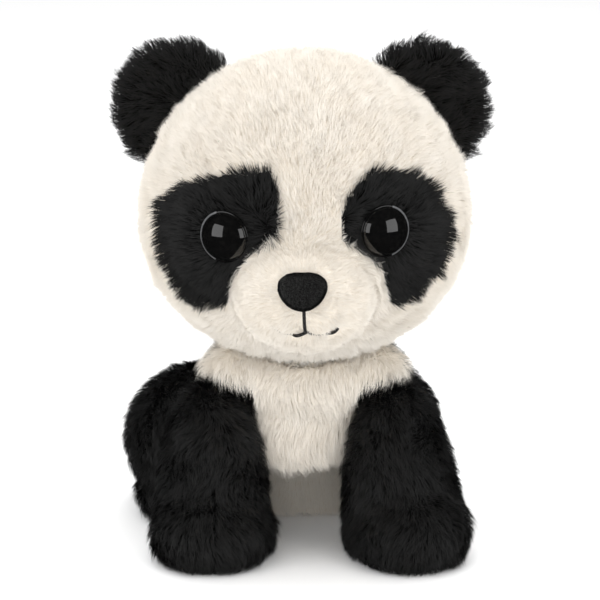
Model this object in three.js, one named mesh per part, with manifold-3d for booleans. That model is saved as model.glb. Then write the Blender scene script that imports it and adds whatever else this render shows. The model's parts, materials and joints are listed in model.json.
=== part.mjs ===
// A small plush panda that sits on its haunches with its front paws on the floor.
// Units are millimetres, +Z is up and the panda faces -Y. Left is the panda's own left, +X.
// The head looks straight ahead while the hips sit a little to the right of it and are turned.
import * as THREE from "three";
import { mergeVertices } from "three/addons/utils/BufferGeometryUtils.js";
import Module from "manifold-3d";

const wasm = await Module();
wasm.setup();

// Cloth and clearances.
const CLOTH = 1.6; // plush cloth with the dense foot of its pile
const GAP = 0.3; // between pieces that lie against each other
const PLAY = 0.7; // between pieces that move against each other

// Head: an egg with full cheeks.
const HEAD_AT = [0, 0, 120];
const HEAD_RADII = [54, 47, 50.5];
const CHEEKS = 0.07;
const FACE_SEAM_Y = 6; // the ear-to-ear seam between the face and the back of the head

// Neck: a ball of stuffing between the head and the body.
const NECK_AT = [0, 0, 69];
const NECK_RADIUS = 13;
const NOD_DEGREES = 8;

// Muzzle, nose and mouth.
const MUZZLE_AT = [0, -42, 98];
const MUZZLE_RADII = [21.5, 16.5, 16.5];
const NOSE_X = -0.8;
const NOSE_Z = 104;
const NOSE_TILT = -0.3;
const NOSE_SINK = 1.4; // how deep the nose sits in the muzzle
const THREAD_RADIUS = 0.6;

// Safety eyes: a dome with a shank through the cloth and a washer behind it.
const EYE_RADIUS = 8.6;
const EYE_HEIGHT = 6.4;
const EYE_PLACES = { left: [24.8, 0], right: [-25, -1.8] }; // x, and z from the head's centre
const SHANK_RADIUS = 2.3;
const SHANK_LENGTH = 8;
const WASHER_RADIUS = 7;

// Eye patch seen from the front, on the left side, in x and z from the head's centre.
const PATCH = [[11.5, 20], [10.5, 10], [19, -6], [25, -24], [36, -27], [47, -14], [49, 3], [36, 18]];

// Ears: cupped discs that stand on the slope of the head.
const EAR_X = { left: 40.4, right: 43 };
const EAR_Y = 8;
const EAR_Z = 151.5;
const EAR_RADIUS = 22;
const EAR_RIM = -1.2; // where the front and the back meet, from the middle of the thickness
const EAR_TURN = 0.2; // how far they face outwards
const EAR_LEAN = 0.62; // the slope of the head under the ear, from upright
const EAR_FOLD_DEGREES = 20;
const EAR_HINGE_RADIUS = 52; // from the head's centre to the hinge line

// Hips: everything behind the front legs hangs on this frame.
const HIPS_AT = [-7.5, 40, 0];
const HIPS_TURN = 0.157;

// Torso: a pear that leans forward, with a yoke over the shoulders.
const PEAR_AT = [-4.6, 23, 35.5];
const PEAR_RADII = [34, 35, 43];
const PEAR_LEAN = Math.PI / 4;
const PEAR_FULL = 0.12;
const YOKE_AT = [0, 2, 60];
const YOKE_RADII = [36, 19, 16];
const BELLY_Z = 30; // the belly is clear of the floor by this much, from the chest back to the seat
const BELLY_BACK_Y = 22;
const BELLY_ROUND = 12;
const CHEST_SEAM_Y = 2;
const BAND_SEAM = 6; // from the pear's centre, towards the neck
const BAG_AT = [-7, 38, 11];
const BAG_RADII = [16, 12, 10.5];

// Front legs: a soft column with a paw in front.
const SHOULDER_AT = [31, -6, 46];
const COLUMN_FOOT_Y = -15;
const COLUMN = [
  [0, -4], [17, -4], [18.8, 8], [18.8, 18], [17.5, 28], [16, 36], [14, 44], [11, 52], [6.5, 57], [0, 59],
];
const PAW_X = { left: 36, right: -32 };
const PAW_Y = -19;
const PAW_Z = 10;
const PAW_RADII = [19.8, 19.5, 17];
const SHOULDER_CUT_X = 15.3; // the body's flat side beside each front leg
const SHOULDER_CUT_RADIUS = 14.4;
const BESIDE_Y = -17; // from here back and from this height up the leg is flat against the body
const BESIDE_Z = 10;
const SHOULDER_CUT_Y = 11;

// Hind legs, in the hips' frame: a haunch with a short foot.
const HAUNCH_AT = [30, 1, 26];
const HAUNCH_RADII = [27.5, 24, 25.5];
const FOOT_AT = [40, -9, 9];
const FOOT_RADII = [15, 14, 11];
const HIP_CUT_X = 27; // the body's flat side beside each hind leg

// Tail, in the hips' frame.
const TAIL_AT = [0, 23, 24];
const TAIL_RADII = [9, 9, 8];
const TAIL_HINGE = [0, 18, 24];
const TAIL_DEGREES = 15;

const WHITE = { color: 0xeee8de, roughness: 0.95, metalness: 0 };
const BLACK = { color: 0x1b1c1c, roughness: 0.92, metalness: 0 };
const FILLING = { color: 0xf4f2ec, roughness: 1, metalness: 0 };
const COTTON = { color: 0xd9d2c2, roughness: 0.9, metalness: 0 };
const GLOSS = { color: 0x0b0b0c, roughness: 0.08, metalness: 0 };
const FLOCK = { color: 0x1c1c1b, roughness: 0.95, metalness: 0 };
const WASHER = { color: 0xe9e9e6, roughness: 0.5, metalness: 0 };
const THREAD = { color: 0x141414, roughness: 0.7, metalness: 0 };

const radians = THREE.MathUtils.degToRad;

// A matrix for a position and turns about X, then Y, then Z.
function placed(at, turn = [0, 0, 0]) {
  const quaternion = new THREE.Quaternion().setFromEuler(new THREE.Euler(...turn, "ZYX"));
  return new THREE.Matrix4().compose(new THREE.Vector3(...at), quaternion, new THREE.Vector3(1, 1, 1));
}

// A turn about a line through a point.
function turned(at, axis, degrees) {
  const there = new THREE.Matrix4().makeTranslation(...at);
  const back = new THREE.Matrix4().makeTranslation(...at.map((v) => -v));
  const turn = new THREE.Matrix4().makeRotationAxis(new THREE.Vector3(...axis).normalize(), radians(degrees));
  return there.multiply(turn).multiply(back);
}

const hips = placed(HIPS_AT, [0, 0, HIPS_TURN]);

function solid(geometry, ...matrices) {
  let g = geometry.index ? geometry.toNonIndexed() : geometry.clone();
  g.deleteAttribute("normal");
  g.deleteAttribute("uv");
  matrices.forEach((m) => g.applyMatrix4(m));
  g = mergeVertices(g, 1e-3);
  const vertProperties = g.attributes.position.array;
  return new wasm.Manifold(new wasm.Mesh({ numProp: 3, vertProperties, triVerts: g.index.array }));
}

// A lathe about Z.
function lathe(profile, around) {
  const points = profile.map(([r, h]) => new THREE.Vector2(r, h));
  return new THREE.LatheGeometry(points, around).rotateX(Math.PI / 2);
}

// An egg about Z. A positive fullness widens its lower half.
function egg(radii, grow, fullness, around, rings) {
  const profile = [];
  for (let i = 0; i <= rings; i++) {
    const a = (Math.PI * i) / rings;
    profile.push([Math.sin(a) * (1 + fullness * Math.cos(a)), -Math.cos(a)]);
  }
  return lathe(profile, around).scale(...radii.map((r) => r + grow));
}

function box(low, high, ...matrices) {
  const size = high.map((v, i) => v - low[i]);
  const middle = high.map((v, i) => (v + low[i]) / 2);
  return solid(new THREE.BoxGeometry(...size).translate(...middle), ...matrices);
}

const FAR = 300;
const above = (z) => box([-FAR, -FAR, z], [FAR, FAR, FAR]);
const below = (z) => box([-FAR, -FAR, -FAR], [FAR, FAR, z]);
const before = (y) => box([-FAR, -FAR, -FAR], [FAR, y, FAR]);
const behind = (y) => box([-FAR, y, -FAR], [FAR, FAR, FAR]);
const inwards = (side, x, ...m) => (side > 0 ? box([-FAR, -FAR, -FAR], [x, FAR, FAR], ...m)
  : box([-x, -FAR, -FAR], [FAR, FAR, FAR], ...m));
const outwards = (side, x, ...m) => (side > 0 ? box([x, -FAR, -FAR], [FAR, FAR, FAR], ...m)
  : box([-FAR, -FAR, -FAR], [-x, FAR, FAR], ...m));

// Groups: one for each moving body, placed at its pivot.
const panda = new THREE.Group();
const bodies = {};
function body(name, at) {
  const group = new THREE.Group();
  group.name = name;
  group.position.set(...at);
  panda.add(group);
  bodies[name] = group;
}

function piece(name, made, look, bodyName) {
  const { vertProperties, triVerts, numProp } = made.getMesh();
  const position = new Float32Array((vertProperties.length / numProp) * 3);
  for (let i = 0; i < position.length / 3; i++) {
    position.set(vertProperties.subarray(i * numProp, i * numProp + 3), i * 3);
  }
  const geometry = new THREE.BufferGeometry();
  geometry.setAttribute("position", new THREE.BufferAttribute(position, 3));
  geometry.setIndex(new THREE.BufferAttribute(triVerts, 1));
  const group = bodies[bodyName];
  geometry.translate(...group.position.clone().negate().toArray());
  const flat = geometry.toNonIndexed();
  flat.computeVertexNormals();
  const mesh = new THREE.Mesh(flat, new THREE.MeshStandardMaterial(look));
  mesh.name = name;
  group.add(mesh);
}

// ---- Head ----
const headSolid = (grow, ...matrices) =>
  solid(egg(HEAD_RADII, grow, CHEEKS, 24, 12), placed(HEAD_AT), ...matrices);
const neckBall = (grow) => solid(new THREE.SphereGeometry(NECK_RADIUS + grow, 16, 10), placed(NECK_AT));
const muzzleSolid = (grow) => solid(egg(MUZZLE_RADII, grow, 0, 16, 8), placed(MUZZLE_AT));

function patchPrism(side, grow) {
  const outline = PATCH.map(([x, z]) => new THREE.Vector3(side * x, z, 0));
  const curve = new THREE.CatmullRomCurve3(outline, true);
  const centre = new THREE.Vector2(side * 29, -3);
  const points = curve.getPoints(16).slice(0, -1).map((p) => {
    const out = new THREE.Vector2(p.x, p.y).sub(centre);
    return out.setLength(out.length() + grow).add(centre);
  });
  if (side < 0) points.reverse();
  const prism = new THREE.ExtrudeGeometry(new THREE.Shape(points), { depth: 70, bevelEnabled: false });
  return solid(prism.rotateX(Math.PI / 2), placed(HEAD_AT));
}

// The frame of an eye: Z points out of the head's surface.
function eyeFrame(side) {
  const [x, z] = EYE_PLACES[side];
  const [rx, ry, rz] = HEAD_RADII;
  const y = -ry * Math.sqrt(1 - (x / rx) ** 2 - (z / rz) ** 2);
  const normal = new THREE.Vector3(x / rx ** 2, y / ry ** 2, z / rz ** 2).normalize();
  const turn = new THREE.Quaternion().setFromUnitVectors(new THREE.Vector3(0, 0, 1), normal);
  const at = new THREE.Vector3(x, y, z).add(new THREE.Vector3(...HEAD_AT));
  return new THREE.Matrix4().compose(at, turn, new THREE.Vector3(1, 1, 1));
}

function eyeProfile() {
  const profile = [[0, -SHANK_LENGTH], [SHANK_RADIUS, -SHANK_LENGTH], [SHANK_RADIUS, GAP + 0.2]];
  profile.push([EYE_RADIUS - 0.6, GAP + 0.2]);
  for (let i = 0; i <= 5; i++) {
    const a = (Math.PI / 2) * (i / 5);
    profile.push([EYE_RADIUS * Math.cos(a), 1.4 + (EYE_HEIGHT - 1.4) * Math.sin(a)]);
  }
  return profile;
}

const rod = (radius, low, high, ...matrices) =>
  solid(lathe([[0, low], [radius, low], [radius, high], [0, high]], 16), ...matrices);
const washer = (outer, low, top, ...matrices) => {
  const inner = SHANK_RADIUS + GAP;
  const section = [[inner, low], [outer, low], [outer, top], [inner, top], [inner, low]];
  return solid(lathe(section, 16), ...matrices);
};

body("head", NECK_AT);
const noseRise = (NOSE_Z - MUZZLE_AT[2]) / MUZZLE_RADII[2];
const noseY = MUZZLE_AT[1] - MUZZLE_RADII[1] * Math.sqrt(1 - noseRise ** 2);
const noseFrame = placed([NOSE_X, noseY, NOSE_Z], [Math.PI / 2 + NOSE_TILT, 0, 0]);
const eyes = { left: eyeFrame("left"), right: eyeFrame("right") };

const headShell = headSolid(0).subtract(headSolid(-CLOTH)).subtract(neckBall(PLAY));
let face = headShell.intersect(before(FACE_SEAM_Y - GAP / 2));
const patches = {};
for (const [name, side] of [["left", 1], ["right", -1]]) {
  const hole = rod(SHANK_RADIUS + GAP, -12, 12, eyes[name]);
  face = face.subtract(patchPrism(side, GAP));
  patches[name] = headShell.intersect(before(0)).intersect(patchPrism(side, 0)).subtract(hole);
}
piece("face_panel", face, WHITE, "head");
piece("eye_patch_left", patches.left, BLACK, "head");
piece("eye_patch_right", patches.right, BLACK, "head");
const backOfHead = headShell.intersect(behind(FACE_SEAM_Y + GAP / 2));
piece("head_back_left", backOfHead.intersect(outwards(1, GAP / 2)), WHITE, "head");
piece("head_back_right", backOfHead.intersect(outwards(-1, GAP / 2)), WHITE, "head");

let headFilling = headSolid(-CLOTH - GAP).subtract(neckBall(PLAY));
for (const name of ["left", "right"]) {
  const top = -CLOTH - GAP - 1.6;
  headFilling = headFilling.subtract(rod(WASHER_RADIUS + GAP, -SHANK_LENGTH - 1, 10, eyes[name]));
  piece("eye_" + name, solid(lathe(eyeProfile(), 16), eyes[name]), GLOSS, "head");
  piece("eye_washer_" + name, washer(WASHER_RADIUS, top - 1.6, top, eyes[name]), WASHER, "head");
}
piece("head_stuffing", headFilling, FILLING, "head");

// The muzzle is a bowl of cloth sewn on the face, open towards it.
const noseHole = rod(SHANK_RADIUS + GAP, -12, 12, noseFrame);
const washerPocket = rod(WASHER_RADIUS - 1 + GAP, -SHANK_LENGTH - 1.5, 10, noseFrame);
const muzzleShell = muzzleSolid(0).subtract(muzzleSolid(-CLOTH)).subtract(headSolid(GAP));
piece("muzzle_skin", muzzleShell.subtract(noseHole), WHITE, "head");
const muzzleFilling = muzzleSolid(-CLOTH - GAP).subtract(headSolid(GAP)).subtract(washerPocket);
piece("muzzle_stuffing", muzzleFilling, FILLING, "head");

// The nose is a wide rounded triangle with its point down.
const noseOutline = new THREE.Shape();
noseOutline.moveTo(0, 3.6);
noseOutline.bezierCurveTo(3, 4, 6.2, 3.4, 5.6, 0.8);
noseOutline.bezierCurveTo(5, -1.6, 2.4, -4, 0, -4);
noseOutline.bezierCurveTo(-2.4, -4, -5, -1.6, -5.6, 0.8);
noseOutline.bezierCurveTo(-6.2, 3.4, -3, 4, 0, 3.6);
const noseBevel = { bevelThickness: 3.2, bevelSize: 2.1, bevelSegments: 3 };
const noseGeometry = new THREE.ExtrudeGeometry(noseOutline, { depth: 0.6, curveSegments: 4, ...noseBevel });
const noseBlock = solid(noseGeometry.translate(0, 0, 3.2 - NOSE_SINK), noseFrame);
const noseShank = rod(SHANK_RADIUS, -SHANK_LENGTH, 2, noseFrame);
piece("nose", noseBlock.subtract(muzzleSolid(GAP)).add(noseShank), FLOCK, "head");
piece("nose_washer", washer(WASHER_RADIUS - 1, -6.2, -4.6, noseFrame), WASHER, "head");

// Mouth stitches lie on the muzzle, given by x and z.
function stitch(points) {
  const lift = GAP + THREAD_RADIUS + 0.1;
  const [rx, ry, rz] = MUZZLE_RADII.map((r) => r + lift);
  const path = points.map(([x, z]) => {
    const reach = Math.sqrt(1 - (x / rx) ** 2 - ((z - MUZZLE_AT[2]) / rz) ** 2);
    return new THREE.Vector3(x, MUZZLE_AT[1] - ry * reach, z);
  });
  const circle = new THREE.Shape().absarc(0, 0, THREAD_RADIUS, 0, 2 * Math.PI);
  const extrudePath = new THREE.CatmullRomCurve3(path);
  return solid(new THREE.ExtrudeGeometry(circle, { steps: 6, extrudePath, curveSegments: 4 }));
}
piece("mouth_stitch_centre", stitch([[-0.3, 96.3], [-0.2, 94], [0, 91.8]]), THREAD, "head");
piece("mouth_stitch_left", stitch([[1.2, 90.3], [4.6, 88.6], [9.8, 91]]), THREAD, "head");
piece("mouth_stitch_right", stitch([[-1.2, 90.3], [-4.6, 88.6], [-9.8, 91]]), THREAD, "head");

// ---- Neck ----
body("neck", NECK_AT);
piece("neck_stuffing", neckBall(0), FILLING, "neck");

// ---- Ears ----
// A cupped pillow about Z, hollow towards +Z.
function earProfile(grow) {
  const profile = [];
  const radius = EAR_RADIUS + grow;
  for (let i = 0; i <= 4; i++) {
    const r = (radius * i) / 4.5;
    profile.push([r, -9.5 - grow + 7 * (r / EAR_RADIUS) ** 2]);
  }
  profile.push([radius, EAR_RIM]);
  for (let i = 4; i >= 0; i--) {
    const r = (radius * i) / 4.5;
    profile.push([r, -2.5 + grow + 5 * (r / EAR_RADIUS) ** 2]);
  }
  return profile;
}
const earMiddle = (lift) => [0, 8, 16, 30].map((r) => [r, -6 + lift + 6 * (r / EAR_RADIUS) ** 2]);
const earFrontSide = () => [...earMiddle(GAP / 2), [0, 40]];
const earBackSide = () => [[0, -40], ...earMiddle(-GAP / 2).reverse()];

function ear(name, side) {
  const frame = placed([side * EAR_X[name], EAR_Y, EAR_Z], [Math.PI / 2, 0, side * EAR_TURN]);
  const reach = [side * Math.cos(EAR_LEAN), 0, Math.sin(EAR_LEAN)].map((v) => v * EAR_HINGE_RADIUS);
  const hinge = [HEAD_AT[0] + reach[0], EAR_Y, HEAD_AT[2] + reach[2]];
  const axis = [-side * Math.sin(EAR_LEAN), 0, Math.cos(EAR_LEAN)];
  const bodyName = "ear_" + name;
  body(bodyName, hinge);
  const folds = [-EAR_FOLD_DEGREES, EAR_FOLD_DEGREES].map((angle) => turned(hinge, axis, angle));
  const freed = (made) => folds.reduce((kept, fold) => kept.subtract(headSolid(PLAY, fold)), made);
  const pillow = (grow) => solid(lathe(earProfile(grow), 16), frame);
  const shell = freed(pillow(0).subtract(pillow(-CLOTH)));
  piece(bodyName + "_front", shell.intersect(solid(lathe(earFrontSide(), 16), frame)), BLACK, bodyName);
  piece(bodyName + "_back", shell.intersect(solid(lathe(earBackSide(), 16), frame)), BLACK, bodyName);
  piece(bodyName + "_wadding", freed(pillow(-CLOTH - GAP)), FILLING, bodyName);
}
ear("left", 1);
ear("right", -1);

// ---- Torso ----
// The space the head needs above the shoulders as it nods and turns, lowered by the given depth.
function headRoom(depth) {
  const profile = [];
  const [rx, , rz] = HEAD_RADII;
  for (let i = 0; i <= 6; i++) {
    const a = (Math.PI / 2) * (i / 6);
    const r = rx * Math.sin(a) * (1 + CHEEKS * Math.cos(a));
    const drop = r * Math.sin(radians(NOD_DEGREES)) + PLAY + depth;
    profile.push([r + depth, HEAD_AT[2] - rz * Math.cos(a) - drop]);
  }
  profile[0][0] = 0;
  return solid(lathe([...profile, [rx + 4, 160], [0, 160]], 16));
}

// The space a front leg swings through beside the body, seen from the side.
function legRoom(side, grow) {
  const [, y, z] = SHOULDER_AT;
  const outline = new THREE.Shape();
  outline.absarc(y, z, SHOULDER_CUT_RADIUS - grow, radians(10), radians(180));
  outline.lineTo(-60, 40);
  outline.lineTo(-60, -20);
  outline.lineTo(SHOULDER_CUT_Y - grow, -20);
  outline.lineTo(SHOULDER_CUT_Y - grow, 40);
  const slab = new THREE.ExtrudeGeometry(outline, { depth: 80, bevelEnabled: false, curveSegments: 5 });
  const start = SHOULDER_CUT_X + grow;
  const stand = new THREE.Matrix4().makeBasis(
    new THREE.Vector3(0, 1, 0), new THREE.Vector3(0, 0, 1), new THREE.Vector3(1, 0, 0));
  const across = new THREE.Matrix4().makeTranslation(side > 0 ? start : -start - 80, 0, 0);
  return solid(slab, stand, across);
}

function hipRoom(side, grow) {
  const x = HIP_CUT_X + grow;
  return box(side > 0 ? [x, -35, -20] : [-100, -35, -20], side > 0 ? [100, 60, 60] : [-x, 60, 60], hips);
}

const pearFrame = placed([0, 0, 0], [PEAR_LEAN, 0, 0]).premultiply(placed(PEAR_AT, [0, 0, HIPS_TURN]));

const pearSolid = (grow, ...matrices) =>
  solid(egg(PEAR_RADII, grow, PEAR_FULL, 18, 9), pearFrame, ...matrices);

// The open space under the belly, seen from the side, with a rounded corner at the seat.
function bellyRoom(grow) {
  const back = BELLY_BACK_Y - grow;
  const top = BELLY_Z - grow;
  const outline = new THREE.Shape();
  outline.moveTo(-60, -20);
  outline.lineTo(back, -20);
  outline.absarc(back - BELLY_ROUND, top - BELLY_ROUND, BELLY_ROUND, 0, Math.PI / 2);
  outline.lineTo(-60, top);
  const slab = new THREE.ExtrudeGeometry(outline, { depth: 120, bevelEnabled: false, curveSegments: 5 });
  const stand = new THREE.Matrix4().makeBasis(
    new THREE.Vector3(0, 1, 0), new THREE.Vector3(0, 0, 1), new THREE.Vector3(1, 0, 0));
  return solid(slab, stand, new THREE.Matrix4().makeTranslation(-60, 0, 0));
}

function torsoSolid(grow) {
  const yoke = solid(egg(YOKE_RADII, grow, 0, 16, 7), placed(YOKE_AT));
  return pearSolid(grow).add(yoke)
    .subtract(bellyRoom(grow))
    .subtract(headRoom(-grow))
    .subtract(neckBall(PLAY - grow))
    .subtract(legRoom(1, grow))
    .subtract(legRoom(-1, grow))
    .subtract(hipRoom(1, grow))
    .subtract(hipRoom(-1, grow))
    .intersect(above(-grow));
}

body("torso", [0, 0, 0]);
const torsoShell = torsoSolid(0).subtract(torsoSolid(-CLOTH));
const towardsNeck = (from) => box([-FAR, -FAR, from], [FAR, FAR, FAR], pearFrame);
const towardsRump = (to) => box([-FAR, -FAR, -FAR], [FAR, FAR, to], pearFrame);
const backShell = torsoShell.intersect(behind(CHEST_SEAM_Y + GAP / 2)).intersect(above(CLOTH + GAP));
const rump = backShell.intersect(towardsRump(BAND_SEAM - GAP / 2));
piece("chest_panel", torsoShell.intersect(before(CHEST_SEAM_Y - GAP / 2)), WHITE, "torso");
piece("shoulder_panel", backShell.intersect(towardsNeck(BAND_SEAM + GAP / 2)), BLACK, "torso");
piece("rump_panel_left", rump.intersect(outwards(1, GAP / 2, hips)), WHITE, "torso");
piece("rump_panel_right", rump.intersect(outwards(-1, GAP / 2, hips)), WHITE, "torso");
piece("seat_panel", torsoShell.intersect(below(CLOTH)), WHITE, "torso");
const bag = (grow) => solid(egg(BAG_RADII, grow, 0, 16, 8), placed(BAG_AT))
  .intersect(above(CLOTH + 2 * GAP - grow));
piece("body_stuffing", torsoSolid(-CLOTH - 2 * GAP).subtract(bag(GAP)), FILLING, "torso");
piece("pellet_bag", bag(0), COTTON, "torso");

// ---- Front legs ----
function frontLeg(name, side) {
  const [x, y, z] = SHOULDER_AT;
  const foot = new THREE.Vector3(PAW_X[name] - side * 1.2, COLUMN_FOOT_Y, 0);
  const rise = new THREE.Vector3(side * x, y, z).sub(foot).normalize();
  const lean = new THREE.Quaternion().setFromUnitVectors(new THREE.Vector3(0, 0, 1), rise);
  const columnFrame = new THREE.Matrix4().compose(foot, lean, new THREE.Vector3(1, 1, 1));
  const bodyName = "front_leg_" + name;
  body(bodyName, [side * x, y, z]);
  const beside = (grow) => {
    const x = SHOULDER_CUT_X + PLAY - grow;
    return box([side > 0 ? -40 : -x, BESIDE_Y, BESIDE_Z], [side > 0 ? x : 40, 40, 90]);
  };
  const shape = (grow) => {
    const column = COLUMN.map(([r, h], i) => [r && r + grow, i > COLUMN.length - 3 ? h + grow : h]);
    return solid(lathe(column, 14), columnFrame)
      .add(solid(egg(PAW_RADII, grow, 0, 14, 7), placed([PAW_X[name], PAW_Y, PAW_Z])))
      .subtract(beside(grow))
      .intersect(above(-grow));
  };
  const shell = shape(0).subtract(shape(-CLOTH));
  const walls = shell.intersect(above(CLOTH + GAP));
  const seam = side * PAW_X[name] - 1;
  piece(bodyName + "_outer_panel", walls.intersect(outwards(side, seam + GAP / 2)), BLACK, bodyName);
  piece(bodyName + "_inner_panel", walls.intersect(inwards(side, seam - GAP / 2)), BLACK, bodyName);
  piece(bodyName + "_sole", shell.intersect(below(CLOTH)), BLACK, bodyName);
  piece(bodyName + "_stuffing", shape(-CLOTH - GAP), FILLING, bodyName);
}
frontLeg("left", 1);
frontLeg("right", -1);

// ---- Hind legs ----
function hindLeg(name, side) {
  const bodyName = "hind_leg_" + name;
  const start = HIP_CUT_X + PLAY;
  const hip = new THREE.Vector3(side * start, 12, 18).applyMatrix4(hips);
  body(bodyName, hip.toArray());
  const mirrored = ([x, y, z]) => placed([side * x, y, z]);
  const shape = (grow) => solid(egg(HAUNCH_RADII, grow, 0, 14, 8), mirrored(HAUNCH_AT), hips)
    .add(solid(egg(FOOT_RADII, grow, 0, 12, 6), mirrored(FOOT_AT), hips))
    .intersect(outwards(side, start - grow, hips))
    .intersect(above(-grow));
  const shell = shape(0).subtract(shape(-CLOTH));
  const dome = shell.intersect(outwards(side, start + CLOTH + GAP, hips));
  piece(bodyName + "_outer_panel", dome.intersect(above(CLOTH + GAP)), BLACK, bodyName);
  piece(bodyName + "_inner_panel", shell.intersect(inwards(side, start + CLOTH, hips)), BLACK, bodyName);
  piece(bodyName + "_sole", dome.intersect(below(CLOTH)), BLACK, bodyName);
  piece(bodyName + "_stuffing", shape(-CLOTH - GAP), FILLING, bodyName);
}
hindLeg("left", 1);
hindLeg("right", -1);

// ---- Tail ----
const tailHinge = new THREE.Vector3(...TAIL_HINGE).applyMatrix4(hips).toArray();
const sideways = [Math.cos(HIPS_TURN), Math.sin(HIPS_TURN), 0];
const wags = [-TAIL_DEGREES, 0, TAIL_DEGREES].map((angle) => turned(tailHinge, sideways, angle));
body("tail", tailHinge);
const tailFreed = (made) => wags.reduce((kept, wag) => kept.subtract(pearSolid(PLAY, wag)), made);
const tailEgg = (grow) => solid(egg(TAIL_RADII, grow, 0, 12, 6), placed(TAIL_AT), hips);
piece("tail_skin", tailFreed(tailEgg(0).subtract(tailEgg(-CLOTH))), WHITE, "tail");
piece("tail_stuffing", tailFreed(tailEgg(-CLOTH - GAP)), FILLING, "tail");

// The origin is under the middle of the whole panda, on the floor.
const bounds = new THREE.Box3().setFromObject(panda);
const middle = bounds.getCenter(new THREE.Vector3());
panda.position.set(-middle.x, -middle.y, -bounds.min.z);

const root = new THREE.Group();
root.name = "plush_panda";
root.add(panda);
export default root;
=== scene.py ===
# A small plush panda: stuffed cloth parts with a combed pile, safety eyes, a flocked nose and a sewn mouth.
import json
import math
import bmesh
import bpy
import numpy as np
from mathutils import Matrix, Vector
from mathutils.bvhtree import BVHTree
from mathutils.kdtree import KDTree


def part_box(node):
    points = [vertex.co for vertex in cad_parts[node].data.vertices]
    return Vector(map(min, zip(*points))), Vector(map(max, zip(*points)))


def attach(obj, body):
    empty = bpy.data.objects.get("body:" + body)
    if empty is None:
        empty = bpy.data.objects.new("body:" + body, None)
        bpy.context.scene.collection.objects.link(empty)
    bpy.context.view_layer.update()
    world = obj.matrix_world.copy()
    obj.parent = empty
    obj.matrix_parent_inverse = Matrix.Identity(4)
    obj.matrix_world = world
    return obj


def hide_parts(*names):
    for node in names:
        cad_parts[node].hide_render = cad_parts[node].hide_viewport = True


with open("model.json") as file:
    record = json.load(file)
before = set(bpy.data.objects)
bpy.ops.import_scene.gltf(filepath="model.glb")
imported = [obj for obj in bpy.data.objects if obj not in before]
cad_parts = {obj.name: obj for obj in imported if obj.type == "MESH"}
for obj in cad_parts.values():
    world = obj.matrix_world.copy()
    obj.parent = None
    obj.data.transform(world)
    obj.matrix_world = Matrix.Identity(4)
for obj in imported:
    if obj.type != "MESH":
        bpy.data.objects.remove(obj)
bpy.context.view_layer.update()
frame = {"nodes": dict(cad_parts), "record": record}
scene = bpy.context.scene
nodes = frame["nodes"]
bodies = frame["record"]["behaviour"]["bodies"]
MM = 0.001


def middle(*names):
    """The middle of the box round some CAD nodes."""
    lows, highs = zip(*(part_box(n) for n in names))
    low = Vector(map(min, *lows)) if len(lows) > 1 else lows[0]
    high = Vector(map(max, *highs)) if len(highs) > 1 else highs[0]
    return (low + high) / 2


HEAD = middle("face_panel", "head_back_left", "head_back_right")
MUZZLE = middle("muzzle_stuffing")
MOUTH = middle("mouth_stitch_centre")
# The lines where the mouth's thread shows, from the middle of the mouth in mm, and the bare room beside each.
MOUTH_SHOWS = [((-0.1, 5), (0, -3), 0.9), ((0, -3.6), (-3.2, -5.2), 0.5), ((8.6, -4.2), (10.4, -3), 0.4)]
EYES = {side: middle("eye_" + side) for side in ("left", "right")}
EARS = {side: middle("ear_%s_front" % side, "ear_%s_back" % side) for side in ("left", "right")}


# ---- Camera ----
TARGET = Vector((-0.15, -3.9, 86.6)) * MM
RISE = math.radians(14)
DISTANCE = 650 * MM
camera = bpy.data.objects.new("camera", bpy.data.cameras.new("camera"))
scene.collection.objects.link(camera)
camera.location = TARGET + Vector((0, -math.cos(RISE), math.sin(RISE))) * DISTANCE
camera.rotation_euler = (math.pi / 2 - RISE, 0, 0)
camera.data.lens = 113.1
camera.data.sensor_width = 36
camera.data.clip_start = 0.01
camera.data.clip_end = 20
scene.camera = camera

# ---- Studio ----
scene.view_settings.view_transform = "Standard"
world = bpy.data.worlds.new("studio")
scene.world = world
world.use_nodes = True
world.node_tree.nodes["Background"].inputs["Color"].default_value = (1, 1, 1, 1)
world.node_tree.nodes["Background"].inputs["Strength"].default_value = 1.04
world.cycles_visibility.glossy = False


def lamp(name, place, size, power, glossy=True, at=(0, 0, 0.09)):
    data = bpy.data.lights.new(name, "AREA")
    data.shape = "SQUARE"
    data.size = size
    data.energy = power
    made = bpy.data.objects.new(name, data)
    scene.collection.objects.link(made)
    made.location = place
    made.rotation_euler = (Vector(at) - Vector(place)).to_track_quat("-Z", "Y").to_euler()
    made.visible_glossy = glossy
    made.visible_camera = False


lamp("softbox_left", (0.87, -0.66, 0.32), 0.7, 4.2)
lamp("softbox_right", (-0.87, -0.66, 0.32), 0.7, 4.2)
lamp("front_fill", (0.0, -1.3, 0.35), 1.0, 2.4, glossy=False)
lamp("top_fill", (0.0, 0.1, 1.4), 1.4, 11.5, glossy=False)
lamp("back_glow", (0.0, 1.6, 0.5), 2.0, 7.0)


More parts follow.
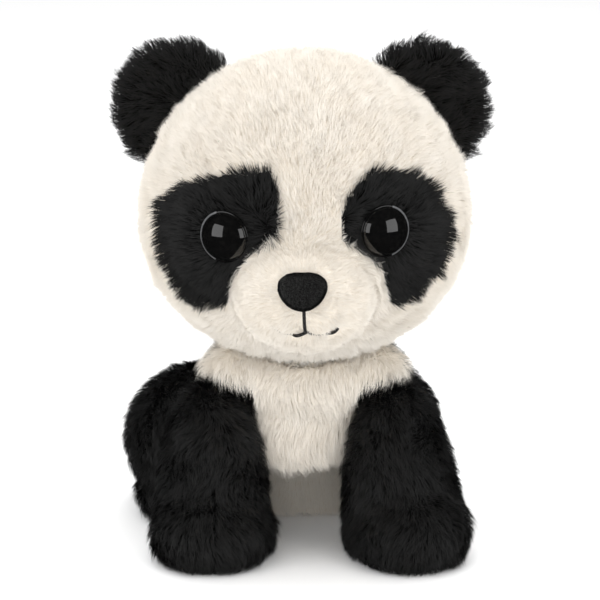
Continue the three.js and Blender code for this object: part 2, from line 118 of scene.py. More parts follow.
# ---- Materials ----
class Shader:
    """A principled material and short ways to put nodes before it."""

    def __init__(self, name, **values):
        self.material = bpy.data.materials.new(name)
        self.material.use_nodes = True
        self.nodes = self.material.node_tree.nodes
        self.links = self.material.node_tree.links
        self.principled = self.nodes["Principled BSDF"]
        for key, value in values.items():
            self.principled.inputs[key.replace("_", " ")].default_value = value

    def node(self, kind, sockets=None, **settings):
        made = self.nodes.new("ShaderNode" + kind)
        for key, value in settings.items():
            setattr(made, key, value)
        for key, value in (sockets or {}).items():
            if isinstance(value, bpy.types.NodeSocket):
                self.links.new(value, made.inputs[key])
            else:
                made.inputs[key].default_value = value
        return made

    def place(self):
        return self.node("TexCoord").outputs["Object"]

    def noise(self, scale, detail=2.0, vector=None):
        sockets = {"Vector": vector or self.place(), "Scale": scale, "Detail": detail}
        return self.node("TexNoise", sockets).outputs["Fac"]

    def ramp(self, fac, *stops):
        made = self.node("ValToRGB", {"Fac": fac})
        elements = made.color_ramp.elements
        while len(elements) < len(stops):
            elements.new(0.5)
        for element, (at, colour) in zip(elements, stops):
            element.position = at
            element.color = (*colour, 1)
        return made.outputs["Color"]

    def blend(self, fac, a, b, how="MIX"):
        made = self.node("Mix", data_type="RGBA", blend_type=how)
        for socket, value in zip((made.inputs[0], made.inputs[6], made.inputs[7]), (fac, a, b)):
            if isinstance(value, bpy.types.NodeSocket):
                self.links.new(value, socket)
            else:
                socket.default_value = value
        return made.outputs[2]

    def colour(self, socket):
        self.links.new(socket, self.principled.inputs["Base Color"])

    def let_light_through(self, socket, share):
        """Fine fibres glow with the light behind them."""
        glow = self.node("BsdfTranslucent", {"Color": socket})
        both = self.node("MixShader", {0: share, 1: self.principled.outputs[0], 2: glow.outputs[0]})
        self.links.new(both.outputs[0], self.nodes["Material Output"].inputs["Surface"])

    def bump(self, height, strength, distance):
        made = self.node("Bump", {"Height": height, "Strength": strength, "Distance": distance})
        self.links.new(made.outputs["Normal"], self.principled.inputs["Normal"])


def pile_material(name, root, tip, patchy, tones, roughness, specular, glow=0):
    """Pile fibres: deeper at the root, paler at the tip, each with its own tone, on a softly uneven cloth."""
    s = Shader(name, Roughness=roughness, Specular_IOR_Level=specular)
    along = s.node("Attribute", attribute_name="along").outputs["Fac"]
    tone = s.node("Attribute", attribute_name="tone").outputs["Fac"]
    grown = s.ramp(along, (0.0, root), (0.75, tip))
    uneven = s.ramp(s.noise(90, 3), (0.3, patchy), (0.7, (1, 1, 1)))
    own = s.ramp(tone, (0.0, (tones, tones, tones)), (1.0, (1, 1, 1)))
    shade = s.blend(1.0, s.blend(1.0, grown, uneven, "MULTIPLY"), own, "MULTIPLY")
    s.colour(shade)
    if glow:
        s.let_light_through(shade, glow)
    return s.material


def backing_material(name, low, high):
    """The knitted ground that the pile stands in."""
    s = Shader(name, Roughness=0.95, Specular_IOR_Level=0.1)
    knit = s.node("TexVoronoi", {"Vector": s.place(), "Scale": 1400.0})
    s.colour(s.ramp(knit.outputs["Distance"], (0.0, high), (0.6, low)))
    s.bump(knit.outputs["Distance"], 0.4, 0.0003)
    return s.material


def stuffing_material():
    """Loose white fibre filling."""
    s = Shader("stuffing_fibre", Roughness=0.95)
    fluff = s.noise(260, 6)
    s.colour(s.ramp(fluff, (0.35, (0.66, 0.65, 0.62)), (0.65, (0.9, 0.9, 0.88))))
    s.bump(fluff, 0.7, 0.001)
    return s.material


def cotton_material():
    """Plain woven cotton of the pellet bag."""
    s = Shader("bag_cotton", Roughness=0.9)
    along = s.node("TexWave", {"Vector": s.place(), "Scale": 260.0}, bands_direction="X")
    over = s.node("TexWave", {"Vector": s.place(), "Scale": 260.0}, bands_direction="Y")
    weave = s.blend(0.5, along.outputs["Color"], over.outputs["Color"])
    s.colour(s.ramp(weave, (0.2, (0.6, 0.57, 0.5)), (0.8, (0.82, 0.79, 0.72))))
    s.bump(weave, 0.5, 0.0002)
    return s.material


def washer_material():
    """Milky moulded plastic."""
    s = Shader("washer_milky", Roughness=0.42)
    grain = s.noise(900, 3)
    s.colour(s.ramp(grain, (0.3, (0.74, 0.74, 0.72)), (0.7, (0.84, 0.84, 0.82))))
    s.bump(grain, 0.15, 0.0001)
    return s.material


def eye_material():
    """Black moulded plastic with a polished dome and a few faint dust marks."""
    s = Shader("eye_gloss", Roughness=0.05, IOR=1.5)
    dust = s.noise(700, 5)
    s.colour(s.ramp(dust, (0.5, (0.0025, 0.0025, 0.0025)), (0.8, (0.006, 0.0058, 0.0055))))
    return s.material


def painted_rim_arc_material():
    """The moulded rim of the eye on its outer side: greyer than the dome as a painted reflection arc, with
    fine marks of the mould.
    """
    s = Shader("eye_rim_painted_arc", Roughness=0.35)
    marks = s.noise(1200, 3)
    s.colour(s.ramp(marks, (0.3, (0.07, 0.072, 0.075)), (0.7, (0.11, 0.113, 0.117))))
    s.bump(marks, 0.1, 0.0001)
    return s.material


def thread_material():
    """Twisted black thread: fine turns along it."""
    s = Shader("thread_twist", Roughness=0.7, Specular_IOR_Level=0.3)
    sockets = {"Vector": s.place(), "Scale": 520.0, "Distortion": 1.5}
    turns = s.node("TexWave", sockets, bands_direction="DIAGONAL")
    s.colour(s.ramp(turns.outputs["Fac"], (0.2, (0.006, 0.006, 0.006)), (0.9, (0.03, 0.028, 0.027))))
    s.bump(turns.outputs["Fac"], 0.6, 0.0002)
    return s.material


WHITE_PILE = pile_material("white_pile", root=(0.90, 0.855, 0.785), tip=(0.95, 0.915, 0.855),
                           patchy=(0.97, 0.96, 0.945), tones=0.9, roughness=0.9, specular=0.15, glow=0.42)
BLACK_PILE = pile_material("black_pile", root=(0.003, 0.003, 0.003), tip=(0.019, 0.0193, 0.019),
                           patchy=(0.78, 0.75, 0.74), tones=0.6, roughness=0.6, specular=0.3)
WHITE_GROUND = backing_material("white_ground", (0.80, 0.74, 0.65), (0.88, 0.83, 0.75))
BLACK_GROUND = backing_material("black_ground", (0.0025, 0.0025, 0.0025), (0.006, 0.006, 0.006))
FLOCK_PILE = pile_material("flock_pile", root=(0.004, 0.004, 0.004), tip=(0.05, 0.05, 0.048),
                           patchy=(0.6, 0.6, 0.6), tones=0.25, roughness=0.8, specular=0.2)
FLOCK_GROUND = backing_material("flock_ground", (0.004, 0.004, 0.004), (0.009, 0.009, 0.009))
STUFFING = stuffing_material()
COTTON = cotton_material()
WASHER = washer_material()
EYE = eye_material()
RIM_ARC_PAINT = painted_rim_arc_material()
THREAD = thread_material()
for name, node in nodes.items():
    if "stuffing" in name or "wadding" in name:
        node.material_slots[0].material = STUFFING
    elif "washer" in name:
        node.material_slots[0].material = WASHER
    elif "stitch" in name:
        node.material_slots[0].material = THREAD
    elif name == "pellet_bag":
        node.material_slots[0].material = COTTON


# ---- Stuffed forms ----
SEAM_GAP = 0.3  # mm between CAD parts that touch: moving the cloth out by this much closes it
SKIN_ENDINGS = ("panel", "_skin", "_sole", "_front", "_back")


def soft_nodes(body):
    """The cloth and stuffing of a body, without its plastic and thread."""
    hard = ("stitch", "washer", "nose", "eye_left", "eye_right")
    return [name for name in bodies[body] if "patch" in name or not any(word in name for word in hard)]


def form_of(names, voxel, rounds):
    """One closed skin over some CAD nodes: their shape once they are sewn and filled."""
    bm = bmesh.new()
    for name in names:
        part = bmesh.new()
        part.from_mesh(nodes[name].data)
        bmesh.ops.remove_doubles(part, verts=part.verts, dist=1e-6)
        part.normal_update()
        for vert in part.verts:
            vert.co += vert.normal * SEAM_GAP * MM
        moved = bpy.data.meshes.new("part")
        part.to_mesh(moved)
        part.free()
        bm.from_mesh(moved)
        bpy.data.meshes.remove(moved)
    mesh = bpy.data.meshes.new("form")
    bm.to_mesh(mesh)
    bm.free()
    form = bpy.data.objects.new("form", mesh)
    scene.collection.objects.link(form)
    remesh = form.modifiers.new("remesh", "REMESH")
    remesh.mode = "VOXEL"
    remesh.voxel_size = voxel * MM
    smooth = form.modifiers.new("smooth", "SMOOTH")
    smooth.iterations = rounds
    smooth.factor = 0.5
    made = bpy.data.meshes.new_from_object(form.evaluated_get(bpy.context.evaluated_depsgraph_get()))
    bpy.data.objects.remove(form)
    for polygon in made.polygons:
        polygon.use_smooth = True
    return made


def arrays_of(mesh):
    """A mesh's points, point normals and quads as arrays. Voxel remeshing gives quads only."""
    co = np.empty(len(mesh.vertices) * 3)
    mesh.vertices.foreach_get("co", co)
    normals = np.empty(len(mesh.vertices) * 3)
    mesh.vertices.foreach_get("normal", normals)
    loops = np.empty(len(mesh.loops), np.int32)
    mesh.loops.foreach_get("vertex_index", loops)
    return co.reshape(-1, 3), normals.reshape(-1, 3), loops.reshape(-1, 4)


def skins_tree(body):
    """A search tree over the CAD skins of a body, and which skin each of its faces is from."""
    points, faces, owner = [], [], []
    for name in bodies[body]:
        if name.endswith(SKIN_ENDINGS) or "_panel_" in name or "head_back" in name:
            mesh = nodes[name].data
            start = len(points)
            points += [v.co.copy() for v in mesh.vertices]
            for polygon in mesh.polygons:
                faces.append([start + i for i in polygon.vertices])
                owner.append(name)
    return BVHTree.FromPolygons(points, faces), owner


# ---- Eye patches, seen from the front, in x and z from the middle of the head ----
PATCHES = {
    "left": [(19.6, 21), (31, 20.4), (40.5, 16.3), (48, 3.6), (49, -4), (46.9, -12.3), (45, -17.1),
             (41, -18.9), (38.5, -23.2), (31.7, -26), (26.6, -24.7), (25.6, -19.2), (23, -10.9),
             (19.2, -7.5), (10.6, -1), (10.6, 8), (11.8, 13), (14.9, 16.2)],
    "right": [(-10, 21.3), (-6.8, 13.9), (-7.2, 1), (-14.5, -5.5), (-21.5, -14.2), (-24.3, -24.7),
              (-30.3, -26.9), (-37.8, -27.2), (-43.1, -21.5), (-49.4, -7.1), (-49.4, 0.9), (-48.3, 7.6),
              (-40.8, 14.7), (-24.8, 20)],
}
PATCH_SHRINK = 1.6  # the pile leans over the edge by about this much
PATCH_DROP = 2.4  # mm that the sewn patch lies below these outlines


def inside(outline, x, z):
    """True for the points inside a closed outline."""
    hit = np.zeros(len(x), bool)
    for (x0, z0), (x1, z1) in zip(outline, outline[1:] + outline[:1]):
        crosses = (z0 > z) != (z1 > z)
        at = x0 + (z - z0) * (x1 - x0) / (z1 - z0 + 1e-12)
        hit ^= crosses & (x < at)
    return hit


def patch_outline(side):
    """A patch's sewn edge: a little inside and under what its pile covers."""
    centre = np.mean(PATCHES[side], axis=0)
    edge = []
    for corner in PATCHES[side]:
        away = np.array(corner) - centre
        edge.append(tuple(centre + away * (1 - PATCH_SHRINK / np.linalg.norm(away)) - (0, PATCH_DROP)))
    return edge


def patch_labels(points, labels):
    """Gives the head's points in an eye patch to that patch, and the others near it to the face."""
    x, z = (points[:, 0] - HEAD.x) / MM, (points[:, 2] - HEAD.z) / MM
    front = points[:, 1] < HEAD.y
    labels = labels.copy()
    for side in PATCHES:
        name = "eye_patch_" + side
        labels[labels == name] = "face_panel"
        within = inside(patch_outline(side), x, z) & front & (labels != "muzzle_skin")
        labels[within] = name
    return labels


# ---- Pile ----
def unit(v):
    return v / np.maximum(np.linalg.norm(v, axis=-1, keepdims=True), 1e-12)


def ripples(points, size, seed, waves=10):
    """A smooth uneven value about 0 with hills about as wide as size."""
    rng = np.random.default_rng(seed)
    k = unit(rng.normal(size=(waves, 3))) * rng.uniform(0.6, 1.4, (waves, 1)) * 2 * math.pi / size
    return np.sin(points @ k.T + rng.uniform(0, 2 * math.pi, waves)).sum(1) / math.sqrt(waves / 2)


def strand_shape():
    """One fibre tuft, flat and pointed: how far across and how far along each point is, and its two faces."""
    bm = bmesh.new()
    bmesh.ops.create_grid(bm, x_segments=1, y_segments=2, size=0.5)
    tips = [v for v in bm.verts if v.co.y > 0.4]
    bmesh.ops.pointmerge(bm, verts=tips, merge_co=(0, 0.5, 0))
    bm.verts.index_update()
    across = np.array([v.co.x for v in bm.verts])
    along = np.array([v.co.y + 0.5 for v in bm.verts])
    quad, tip = sorted(([v.index for v in f.verts] for f in bm.faces), key=len, reverse=True)
    bm.free()
    across = across * np.where(along > 0.4, 0.8, 1.0)
    return across, along, quad, tip


ACROSS, ALONG, STRAND_QUAD, STRAND_TIP = strand_shape()


def sow(points, normals, quads, count, rng):
    """Roots spread evenly over some faces: place, normal and face of each."""
    a, b, c, d = (points[quads[:, i]] for i in range(4))
    halves = [np.linalg.norm(np.cross(p - a, q - a), axis=1) for p, q in ((b, c), (c, d))]
    area = (halves[0] + halves[1]) / 2
    face = np.searchsorted(np.cumsum(area) / area.sum(), rng.random(count))
    face = np.minimum(face, len(quads) - 1)
    u, v = rng.random(count)[:, None], rng.random(count)[:, None]
    weights = ((1 - u) * (1 - v), u * (1 - v), u * v, (1 - u) * v)
    place = sum(w * points[quads[face, i]] for i, w in enumerate(weights))
    normal = unit(sum(w * normals[quads[face, i]] for i, w in enumerate(weights)))
    return place, normal, face, area.sum()


def tangent(direction, normals):
    return unit(direction - (direction * normals).sum(1, keepdims=True) * normals)


def grow(roots, normals, style, seed):
    """The pile on some roots: its points, their shading normals, and how far along and what tone each is."""
    rng = np.random.default_rng(seed)
    count = len(roots)
    comb = tangent(style["comb"](roots, normals), normals)
    across = np.cross(normals, comb)
    swirl = (style["swirl"] * ripples(roots, style["swirl_size"] * MM, seed + 1))[:, None]
    comb = tangent(comb * np.cos(swirl) + across * np.sin(swirl), normals)
    length = np.full(count, style["length"] * MM) * rng.uniform(0.72, 1.08, count)
    length = length * (1 + style["tuft"] * ripples(roots, 6 * MM, seed + 2))
    if "trim" in style:
        length = length * style["trim"](roots, normals)
    lift = style["lift"] + 0.045 * ripples(roots, 9 * MM, seed + 3) + rng.normal(0, 0.08, count)
    lift = np.clip(lift, 0.15, 0.98)[:, None]
    lay = np.sqrt(1 - lift**2)
    jitter = tangent(rng.normal(size=(count, 3)), normals) * rng.normal(0, style["stray"], (count, 1))
    tip = roots + length[:, None] * (normals * lift + comb * lay + jitter)
    knee = roots + length[:, None] * (normals * (0.35 + 0.35 * lift) + comb * lay * 0.25 + jitter * 0.2)
    # Clumps: the tips of neighbours lean together.
    clumps = max(8, int(count / style["clump"]))
    chosen = rng.choice(count, clumps, replace=False)
    tree = KDTree(clumps)
    for i, j in enumerate(chosen):
        tree.insert(roots[j], i)
    tree.balance()
    near = np.array([tree.find(r)[1] for r in roots])
    pull = (style["gather"] * rng.uniform(0.5, 1.0, count) * rng.uniform(0.6, 1, clumps)[near])[:, None]
    lead = tip[chosen][near]
    tip = tip * (1 - pull) + lead * pull
    knee = knee + (lead - tip) * pull * 0.3
    tip[:, 2] = np.maximum(tip[:, 2], 0.25 * MM)
    knee[:, 2] = np.maximum(knee[:, 2], 0.2 * MM)
    t = ALONG[None, :, None]
    p0, p1, p2 = roots[:, None], knee[:, None], tip[:, None]
    line = (1 - t) ** 2 * p0 + 2 * t * (1 - t) * p1 + t**2 * p2
    way = unit(2 * (1 - t) * (p1 - p0) + 2 * t * (p2 - p1))
    side = unit(np.cross(tip - roots, normals) + 1e-9)
    roll = rng.normal(0, 0.45, (count, 1))
    face = np.cross(side, unit(tip - roots))
    face *= np.sign((face * normals).sum(1, keepdims=True) + 1e-9)
    side = unit(side * np.cos(roll) + face * np.sin(roll))
    width = style["width"] * MM * rng.uniform(0.7, 1.2, count)
    points = line + side[:, None] * (ACROSS[None, :, None] * width[:, None, None])
    own = unit(np.cross(np.broadcast_to(side[:, None], way.shape), way))
    own *= np.sign((own * normals[:, None]).sum(2, keepdims=True) + 1e-9)
    shade = unit(normals[:, None] * (1 - style["crisp"]) + own * style["crisp"])
    tone = np.clip(0.65 + 0.18 * rng.normal(size=count) + 0.15 * rng.normal(size=clumps)[near], 0, 1)
    along = np.broadcast_to(ALONG, (count, len(ALONG)))
    return points.reshape(-1, 3), shade.reshape(-1, 3), along.reshape(-1), np.repeat(tone, len(ALONG))


def panel(name, body, cloth, strands, ground, pile, slot, fill=0.8):
    """A cloth panel with its pile as one piece: the ground cloth's quads, and then the strands."""
    cloth_points, cloth_normals, cloth_quads = cloth
    points, shade, along, tone = strands
    start = len(cloth_points)
    count = len(points) // len(ALONG)
    first = start + np.arange(count)[:, None] * len(ALONG)
    fibre = np.concatenate([first + np.array(STRAND_QUAD), first + np.array(STRAND_TIP)], 1)
    loops = np.concatenate([cloth_quads.ravel(), fibre.ravel()])
    step = len(STRAND_QUAD) + len(STRAND_TIP)
    offsets = len(cloth_quads) * 4 + np.arange(count)[:, None] * step + np.array([0, len(STRAND_QUAD)])
    starts = np.concatenate([np.arange(len(cloth_quads)) * 4, offsets.ravel()])
    mesh = bpy.data.meshes.new(name)
    mesh.vertices.add(start + len(points))
    mesh.vertices.foreach_set("co", np.concatenate([cloth_points, points]).astype(np.float32).ravel())
    mesh.loops.add(len(loops))
    mesh.loops.foreach_set("vertex_index", loops.astype(np.int32))
    mesh.polygons.add(len(starts))
    mesh.polygons.foreach_set("loop_start", starts.astype(np.int32))
    mesh.polygons.foreach_set("material_index", (np.arange(len(starts)) >= len(cloth_quads)).astype(np.int32))
    mesh.polygons.foreach_set("use_smooth", np.ones(len(starts), bool))
    mesh.update(calc_edges=True)
    for key, values in (("along", along), ("tone", tone)):
        attribute = mesh.attributes.new(key, "FLOAT", "POINT")
        attribute.data.foreach_set("value", np.concatenate([np.zeros(start), values]).astype(np.float32))
    mesh.materials.append(ground)
    mesh.materials.append(pile)
    mesh.normals_split_custom_set_from_vertices(np.concatenate([cloth_normals, shade]))
    made = bpy.data.objects.new(name, mesh)
    scene.collection.objects.link(made)
    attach(made, body)
    return made


def away_from(centre):
    return lambda p, n: p - np.array(centre)


def towards(*direction):
    return lambda p, n: np.broadcast_to(np.array(direction, float), p.shape)


def face_comb(p, n):
    """Up from the muzzle over the bridge and the brow, out and down over the cheeks."""
    x, z = (p[:, 0] - HEAD.x) / MM, (p[:, 2] - HEAD.z) / MM
    y = (p[:, 1] - HEAD.y) / MM
    up = np.clip((z + 19 - 0.5 * np.abs(x)) / 14, -1, 1)
    return np.stack([np.clip(x / 26, -1.3, 1.3), 0.4 + y * 0.01, up], 1)


def muzzle_comb(p, n):
    """Away from the nose, and away from the seam under the mouth."""
    x, z = (p[:, 0] - MUZZLE.x) / MM, (p[:, 2] - MUZZLE.z) / MM
    return np.stack([x / 9, np.full(len(x), 0.3), (z - 5) / 11], 1)


def beside_nose(points, side):
    """How far a point is from an eye, and from 0 to 1 how much it is on the side towards the nose."""
    away = (points - np.array(EYES[side]))[:, [0, 2]] / MM
    reach = np.linalg.norm(away, axis=1)
    inner = np.clip(-away[:, 0] * (1 if side == "left" else -1) / np.maximum(reach, 1e-6), 0, 1)
    return reach, inner * np.clip((15 - reach) / 5, 0, 1)


def eye_trim(points, normals):
    """Shorter pile where the domes show, longer on the side towards the nose, where it hides their edges."""
    factor = np.ones(len(points))
    for side in EYES:
        reach, inner = beside_nose(points, side)
        open_side = np.clip((reach - 6.0) / 5, 0.2, 1)
        factor = np.minimum(factor, open_side * (1 - inner) + 1.35 * inner)
    return factor


def patch_comb(side):
    """Outwards over the white, and round the eye."""
    way = 1 if side == "left" else -1

    def comb(p, n):
        away = unit(p - np.array(EYES[side]))
        _, inner = beside_nose(p, side)
        return away * (0.75 - 0.9 * inner[:, None]) + np.array((way * 0.6, 0, -0.1))

    return comb


def line_reach(x, z, start, end):
    """How far points are from a straight line between two places."""
    (ax, az), (bx, bz) = start, end
    dx, dz = bx - ax, bz - az
    t = np.clip(((x - ax) * dx + (z - az) * dz) / (dx ** 2 + dz ** 2), 0, 1)
    return np.hypot(x - ax - t * dx, z - az - t * dz)


def edge_trim(points, normals):
    """The white pile is shorter along the sewn edges of the eye patches."""
    x, z = (points[:, 0] - HEAD.x) / MM, (points[:, 2] - HEAD.z) / MM
    reach = np.full(len(points), 99.0)
    for side in PATCHES:
        edge = patch_outline(side)
        for start, end in zip(edge, edge[1:] + edge[:1]):
            reach = np.minimum(reach, line_reach(x, z, start, end))
    reach[points[:, 1] > HEAD.y] = 99
    return np.clip(0.5 + reach / 9, 0.5, 1)


def mouth_trim(points, normals):
    """Short pile along the stitches that show, and round the nose."""
    x, z = (points[:, 0] - MOUTH.x) / MM, (points[:, 2] - MOUTH.z) / MM
    factor = np.ones(len(points))
    for start, end, room in MOUTH_SHOWS:
        reach = line_reach(x, z, start, end)
        factor = np.minimum(factor, np.clip(0.25 + (reach - room) * 0.28, 0.25, 1))
    return factor


def under_trim(points, normals):
    """Very short pile under the belly."""
    return np.clip(1 + (normals[:, 2] + 0.35) * 3, 0.22, 1)


def chest_trim(points, normals):
    """Long over the chest, shorter at its lower edge, very short under the belly."""
    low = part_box("chest_panel")[0].z
    ragged = 0.72 + 0.14 * ripples(points, 5 * MM, 7)
    return under_trim(points, normals) * np.clip(ragged + (points[:, 2] - low) / (16 * MM), 0.4, 1)


def back_comb(p, n):
    """Down and a little back over the back of the head."""
    return np.stack([np.zeros(len(p)), 0.2 + 0 * p[:, 0], np.full(len(p), -1.0)], 1)


def style(**changes):
    """How a pile grows: length, width and swirl_size in mm, density in strands a square mm."""
    base = dict(comb=towards(0, 0, -1), length=5.2, density=5.5, lift=0.78, swirl=0.32, swirl_size=20,
                stray=0.24, clump=10, gather=0.32, tuft=0.1, width=0.17, crisp=0.2)
    base.update(changes)
    return base


WHITE = dict(ground=WHITE_GROUND, pile=WHITE_PILE, slot="white_plush")
BLACK = dict(ground=BLACK_GROUND, pile=BLACK_PILE, slot="black_plush")
DARK = dict(lift=0.66, clump=14, gather=0.48, tuft=0.12, width=0.19, crisp=0.45)
EAR_DARK = dict(DARK, clump=22, gather=0.6, tuft=0.16)
EAR_ROOTS = {side: EARS[side] + (HEAD - EARS[side]).normalized() * 0.016 for side in EARS}
EAR_STYLE = {side: style(comb=away_from(EAR_ROOTS[side]), length=5.4, **EAR_DARK) for side in EARS}
LEG_STYLE = style(comb=towards(0, -0.6, -1), length=5.4, **DARK)
PATCH_STYLE = {side: style(comb=patch_comb(side), length=4.8, trim=eye_trim, density=6, **DARK)
               for side in EYES}
SOLE_STYLE = dict(LEG_STYLE, length=2.5, density=2.5, comb=towards(0, -1, 0))
RUMP_STYLE = style(comb=towards(0, 0.3, -1), width=0.2, trim=under_trim)
STYLES = {
    "face_panel": (WHITE, style(comb=face_comb, length=5.0, density=6.2, trim=edge_trim, gather=0.28)),
    "head_back_left": (WHITE, style(comb=back_comb, density=4.4, width=0.2)),
    "head_back_right": (WHITE, style(comb=back_comb, density=4.4, width=0.2)),
    "muzzle_skin": (WHITE, style(comb=muzzle_comb, length=2.9, density=9.5, clump=5, gather=0.12, width=0.14,
                                 trim=mouth_trim, swirl=0.3)),
    "eye_patch_left": (BLACK, PATCH_STYLE["left"]),
    "eye_patch_right": (BLACK, PATCH_STYLE["right"]),
    "chest_panel": (WHITE, style(comb=towards(0, -0.15, -1), length=6.6, density=6.5, lift=0.5, clump=14,
                                 gather=0.42, swirl=0.3, trim=chest_trim)),
    "shoulder_panel": (BLACK, dict(LEG_STYLE, comb=towards(0, 0.5, -1))),
    "rump_panel_left": (WHITE, RUMP_STYLE),
    "rump_panel_right": (WHITE, RUMP_STYLE),
    "seat_panel": (WHITE, style(comb=towards(0, 1, 0), length=3, density=2.5, width=0.25)),
    "tail_skin": (WHITE, style(comb=towards(0, 0.6, -1), length=6)),
}
for side in ("left", "right"):
    for half in ("front", "back"):
        STYLES["ear_%s_%s" % (side, half)] = (BLACK, EAR_STYLE[side])
    for leg in ("front_leg_", "hind_leg_"):
        for half in ("outer_panel", "inner_panel"):
            STYLES[leg + side + "_" + half] = (BLACK, LEG_STYLE)
        STYLES[leg + side + "_sole"] = (BLACK, SOLE_STYLE)

VOXELS = {"ear_left": 1.5, "ear_right": 1.5, "tail": 1.5}  # mm, 2 elsewhere
ROUNDS = {"head": 12, "torso": 16}  # rounds of smoothing, 6 elsewhere
FACE_SKINS = ["face_panel", "eye_patch_left", "eye_patch_right"]
for number, body in enumerate(bodies):
    if body == "neck":
        continue
    form = form_of(soft_nodes(body), VOXELS.get(body, 2.0), ROUNDS.get(body, 6))
    points, normals, quads = arrays_of(form)
    tree, owner = skins_tree(body)
    middles = points[quads].mean(1)
    labels = np.array([owner[tree.find_nearest(Vector(m))[2]] for m in middles], dtype=object)
    rng = np.random.default_rng(100 + number)
    if body == "head":
        face_labels = patch_labels(middles, labels)
    else:
        face_labels = labels
    skins = set(labels) | set(FACE_SKINS if body == "head" else [])
    for index, name in enumerate(sorted(skins)):
        colours, fur = STYLES[name]
        near = np.isin(labels, FACE_SKINS) if name in FACE_SKINS else labels == name
        candidates = quads[near]
        _, _, _, area = sow(points, normals, candidates, 10, rng)  # a first few roots, for the area
        count = int(area / MM**2 * fur["density"])
        roots, ups, face, _ = sow(points, normals, candidates, count, rng)
        if body == "head":
            own = patch_labels(roots, labels[near][face]) == name
            roots, ups = roots[own], ups[own]
        strands = grow(roots, ups, fur, 1000 + 50 * number + index)
        own_quads = quads[face_labels == name]
        used, renumbered = np.unique(own_quads, return_inverse=True)
        cloth = (points[used], normals[used], renumbered.reshape(-1, 4))
        made = panel(name + "_plush", body, cloth, strands, **colours)
        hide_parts(name)

# ---- Nose: a flocked form ----
form = form_of(["nose"], 0.7, 4)
points, normals, quads = arrays_of(form)
rng = np.random.default_rng(77)
NOSE = middle("nose")
points = np.array(NOSE) + (points - np.array(NOSE)) * 0.95 - (0, 0, 0.6 * MM)  # the flock fills the rest
flock = style(comb=away_from(NOSE), length=0.5, density=34, lift=0.8, swirl=0.6, swirl_size=5, stray=0.5,
              clump=3, gather=0.1, width=0.11, crisp=0.7)
_, _, _, area = sow(points, normals, quads, 10, rng)
roots, ups, _, _ = sow(points, normals, quads, int(area / MM**2 * flock["density"]), rng)
outside = roots[:, 1] < NOSE.y + 1 * MM
strands = grow(roots[outside], ups[outside], flock, 78)
nose = panel("nose_flocked", "head", (points, normals, quads), strands, FLOCK_GROUND, FLOCK_PILE,
             "flocked_plastic", fill=None)
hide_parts("nose")


# ---- Safety eyes: a polished dome with a raised rim. Sizes in mm, heights below the top of the dome ----
SHANK_RADIUS = 2.3
SHANK_END = -14.4
BACK_AT = -5.9
DOME_RADIUS = 8.0
DOME_RISE = 5.0
RIM_RADIUS = 8.15
RIM_AT = -4.6
RIM_ROUND = 0.34
PAINTED_ARC_STARTS = 8.05  # what lies further out than this, on the outer side, gets the rim's rougher finish and greyer colour, the grey being a painted reflection arc


def mean_point(name):
    return sum((v.co for v in nodes[name].data.vertices), Vector()) / len(nodes[name].data.vertices)


def safety_eye(side):
    """Turned about its shank: shank, flat back, rounded rim, a fine groove and the dome."""
    way = 1 if side == "left" else -1
    washer = mean_point("eye_washer_" + side)
    axis = (mean_point("eye_" + side) - washer).normalized()
    top = max((v.co - washer).dot(axis) for v in nodes["eye_" + side].data.vertices)
    bm = bmesh.new()
    section = [(0, SHANK_END), (SHANK_RADIUS, SHANK_END), (SHANK_RADIUS, BACK_AT), (DOME_RADIUS, BACK_AT)]
    section += [(RIM_RADIUS + RIM_ROUND * math.sin(a), RIM_AT - RIM_ROUND * math.cos(a))
                for a in np.linspace(0.3, 2.9, 7)]
    section += [(DOME_RADIUS * math.cos(a), -DOME_RISE + DOME_RISE * math.sin(a))
                for a in np.linspace(0.15, math.pi / 2, 18)]
    line = [bm.verts.new((max(r, 0) * MM, 0, z * MM)) for r, z in section]
    for a, b in zip(line, line[1:]):
        bm.edges.new((a, b))
    bmesh.ops.spin(bm, geom=bm.verts[:] + bm.edges[:], axis=(0, 0, 1), cent=(0, 0, 0), angle=2 * math.pi,
                   steps=64, use_merge=True)
    bmesh.ops.remove_doubles(bm, verts=bm.verts, dist=1e-6)
    bmesh.ops.recalc_face_normals(bm, faces=bm.faces)
    turn = axis.to_track_quat("Z", "Y").to_matrix().to_4x4()
    bmesh.ops.transform(bm, matrix=Matrix.Translation(washer + axis * top) @ turn, verts=bm.verts)
    mesh = bpy.data.meshes.new("eye_%s_dome" % side)
    for face in bm.faces:
        face.smooth = True
        middle_of = face.calc_center_median() - washer - axis * top
        across = middle_of - axis * middle_of.dot(axis)
        # Only the outer side of the rim gets the greyer colour: a painted reflection arc.
        outer = across.x * way > 0.3 * across.length
        face.material_index = int(across.length > PAINTED_ARC_STARTS * MM and outer)
    bm.to_mesh(mesh)
    bm.free()
    mesh.materials.append(EYE)
    mesh.materials.append(RIM_ARC_PAINT)
    made = bpy.data.objects.new("eye_%s_dome" % side, mesh)
    scene.collection.objects.link(made)
    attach(made, "head")
    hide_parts("eye_" + side)


for side in ("left", "right"):
    safety_eye(side)

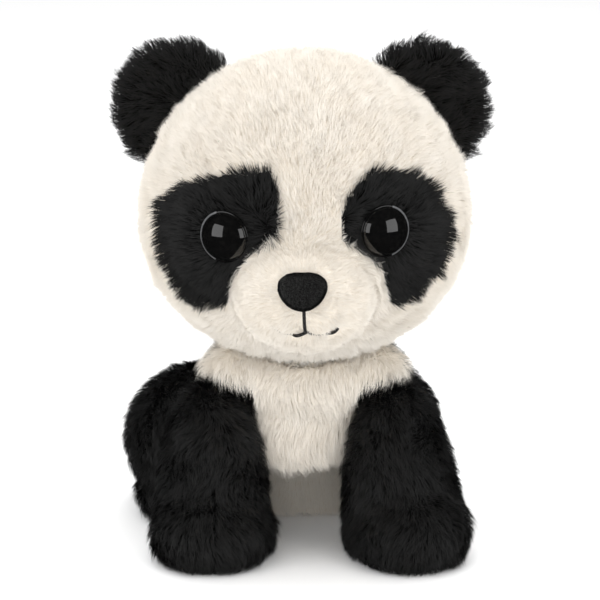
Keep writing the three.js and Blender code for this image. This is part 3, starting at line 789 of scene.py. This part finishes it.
# ---- Mouth: a twisted thread that comes up out of the pile and goes down into it ----
head_form = form_of(soft_nodes("head"), 2.0, ROUNDS["head"])
face_tree = BVHTree.FromPolygons([v.co for v in head_form.vertices],
                                 [list(p.vertices) for p in head_form.polygons])
THREAD_RADIUS = 0.55


def stitch(name, path):
    """A thread along x, z and height over the cloth, in mm from the middle of the mouth."""
    curve = bpy.data.curves.new(name, "CURVE")
    curve.dimensions = "3D"
    curve.bevel_depth = THREAD_RADIUS * MM
    curve.bevel_resolution = 3
    curve.use_fill_caps = True
    line = curve.splines.new("BEZIER")
    line.bezier_points.add(len(path) - 1)
    for point, (x, z, height) in zip(line.bezier_points, path):
        start = Vector((MOUTH.x + x * MM, MOUTH.y - 0.02, MOUTH.z + z * MM))
        on_cloth, up, _, _ = face_tree.ray_cast(start, Vector((0, 1, 0)))
        point.co = on_cloth + up * height * MM
        point.handle_left_type = point.handle_right_type = "AUTO"
    curve.materials.append(THREAD)
    made = bpy.data.objects.new(name, curve)
    scene.collection.objects.link(made)
    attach(made, "head")
    return made


centre = stitch("mouth_thread_centre", [(-0.2, 5.5, 0.6), (-0.2, 3, 1.6), (-0.1, 0, 1.7), (0.2, -3.2, 1.6)])
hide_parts("mouth_stitch_centre")
right = stitch("mouth_thread_right", [(0.2, -3, 1.5), (-1.4, -3.8, 1.6), (-2.6, -4.4, 1.0),
                                      (-4.0, -4.9, -0.2), (-7, -4.6, -0.3), (-9.8, -3, -0.3)])
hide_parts("mouth_stitch_right")
left = stitch("mouth_thread_left", [(0.6, -3.6, 0), (2.4, -4.8, -0.3), (5, -5.2, -0.3), (7.4, -4.6, 0.1),
                                    (9, -3.6, 1.0), (10.4, -2.6, 0.6)])
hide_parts("mouth_stitch_left")

# ---- Floor ----
bm = bmesh.new()
bmesh.ops.create_grid(bm, x_segments=1, y_segments=1, size=6)
mesh = bpy.data.meshes.new("floor")
bm.to_mesh(mesh)
bm.free()
floor = bpy.data.objects.new("floor", mesh)
scene.collection.objects.link(floor)
paper = Shader("paper", Roughness=0.9)
paper.colour(paper.ramp(paper.noise(3.0), (0.3, (0.955, 0.955, 0.955)), (0.7, (0.975, 0.975, 0.975))))
mesh.materials.append(paper.material)
floor.visible_glossy = False
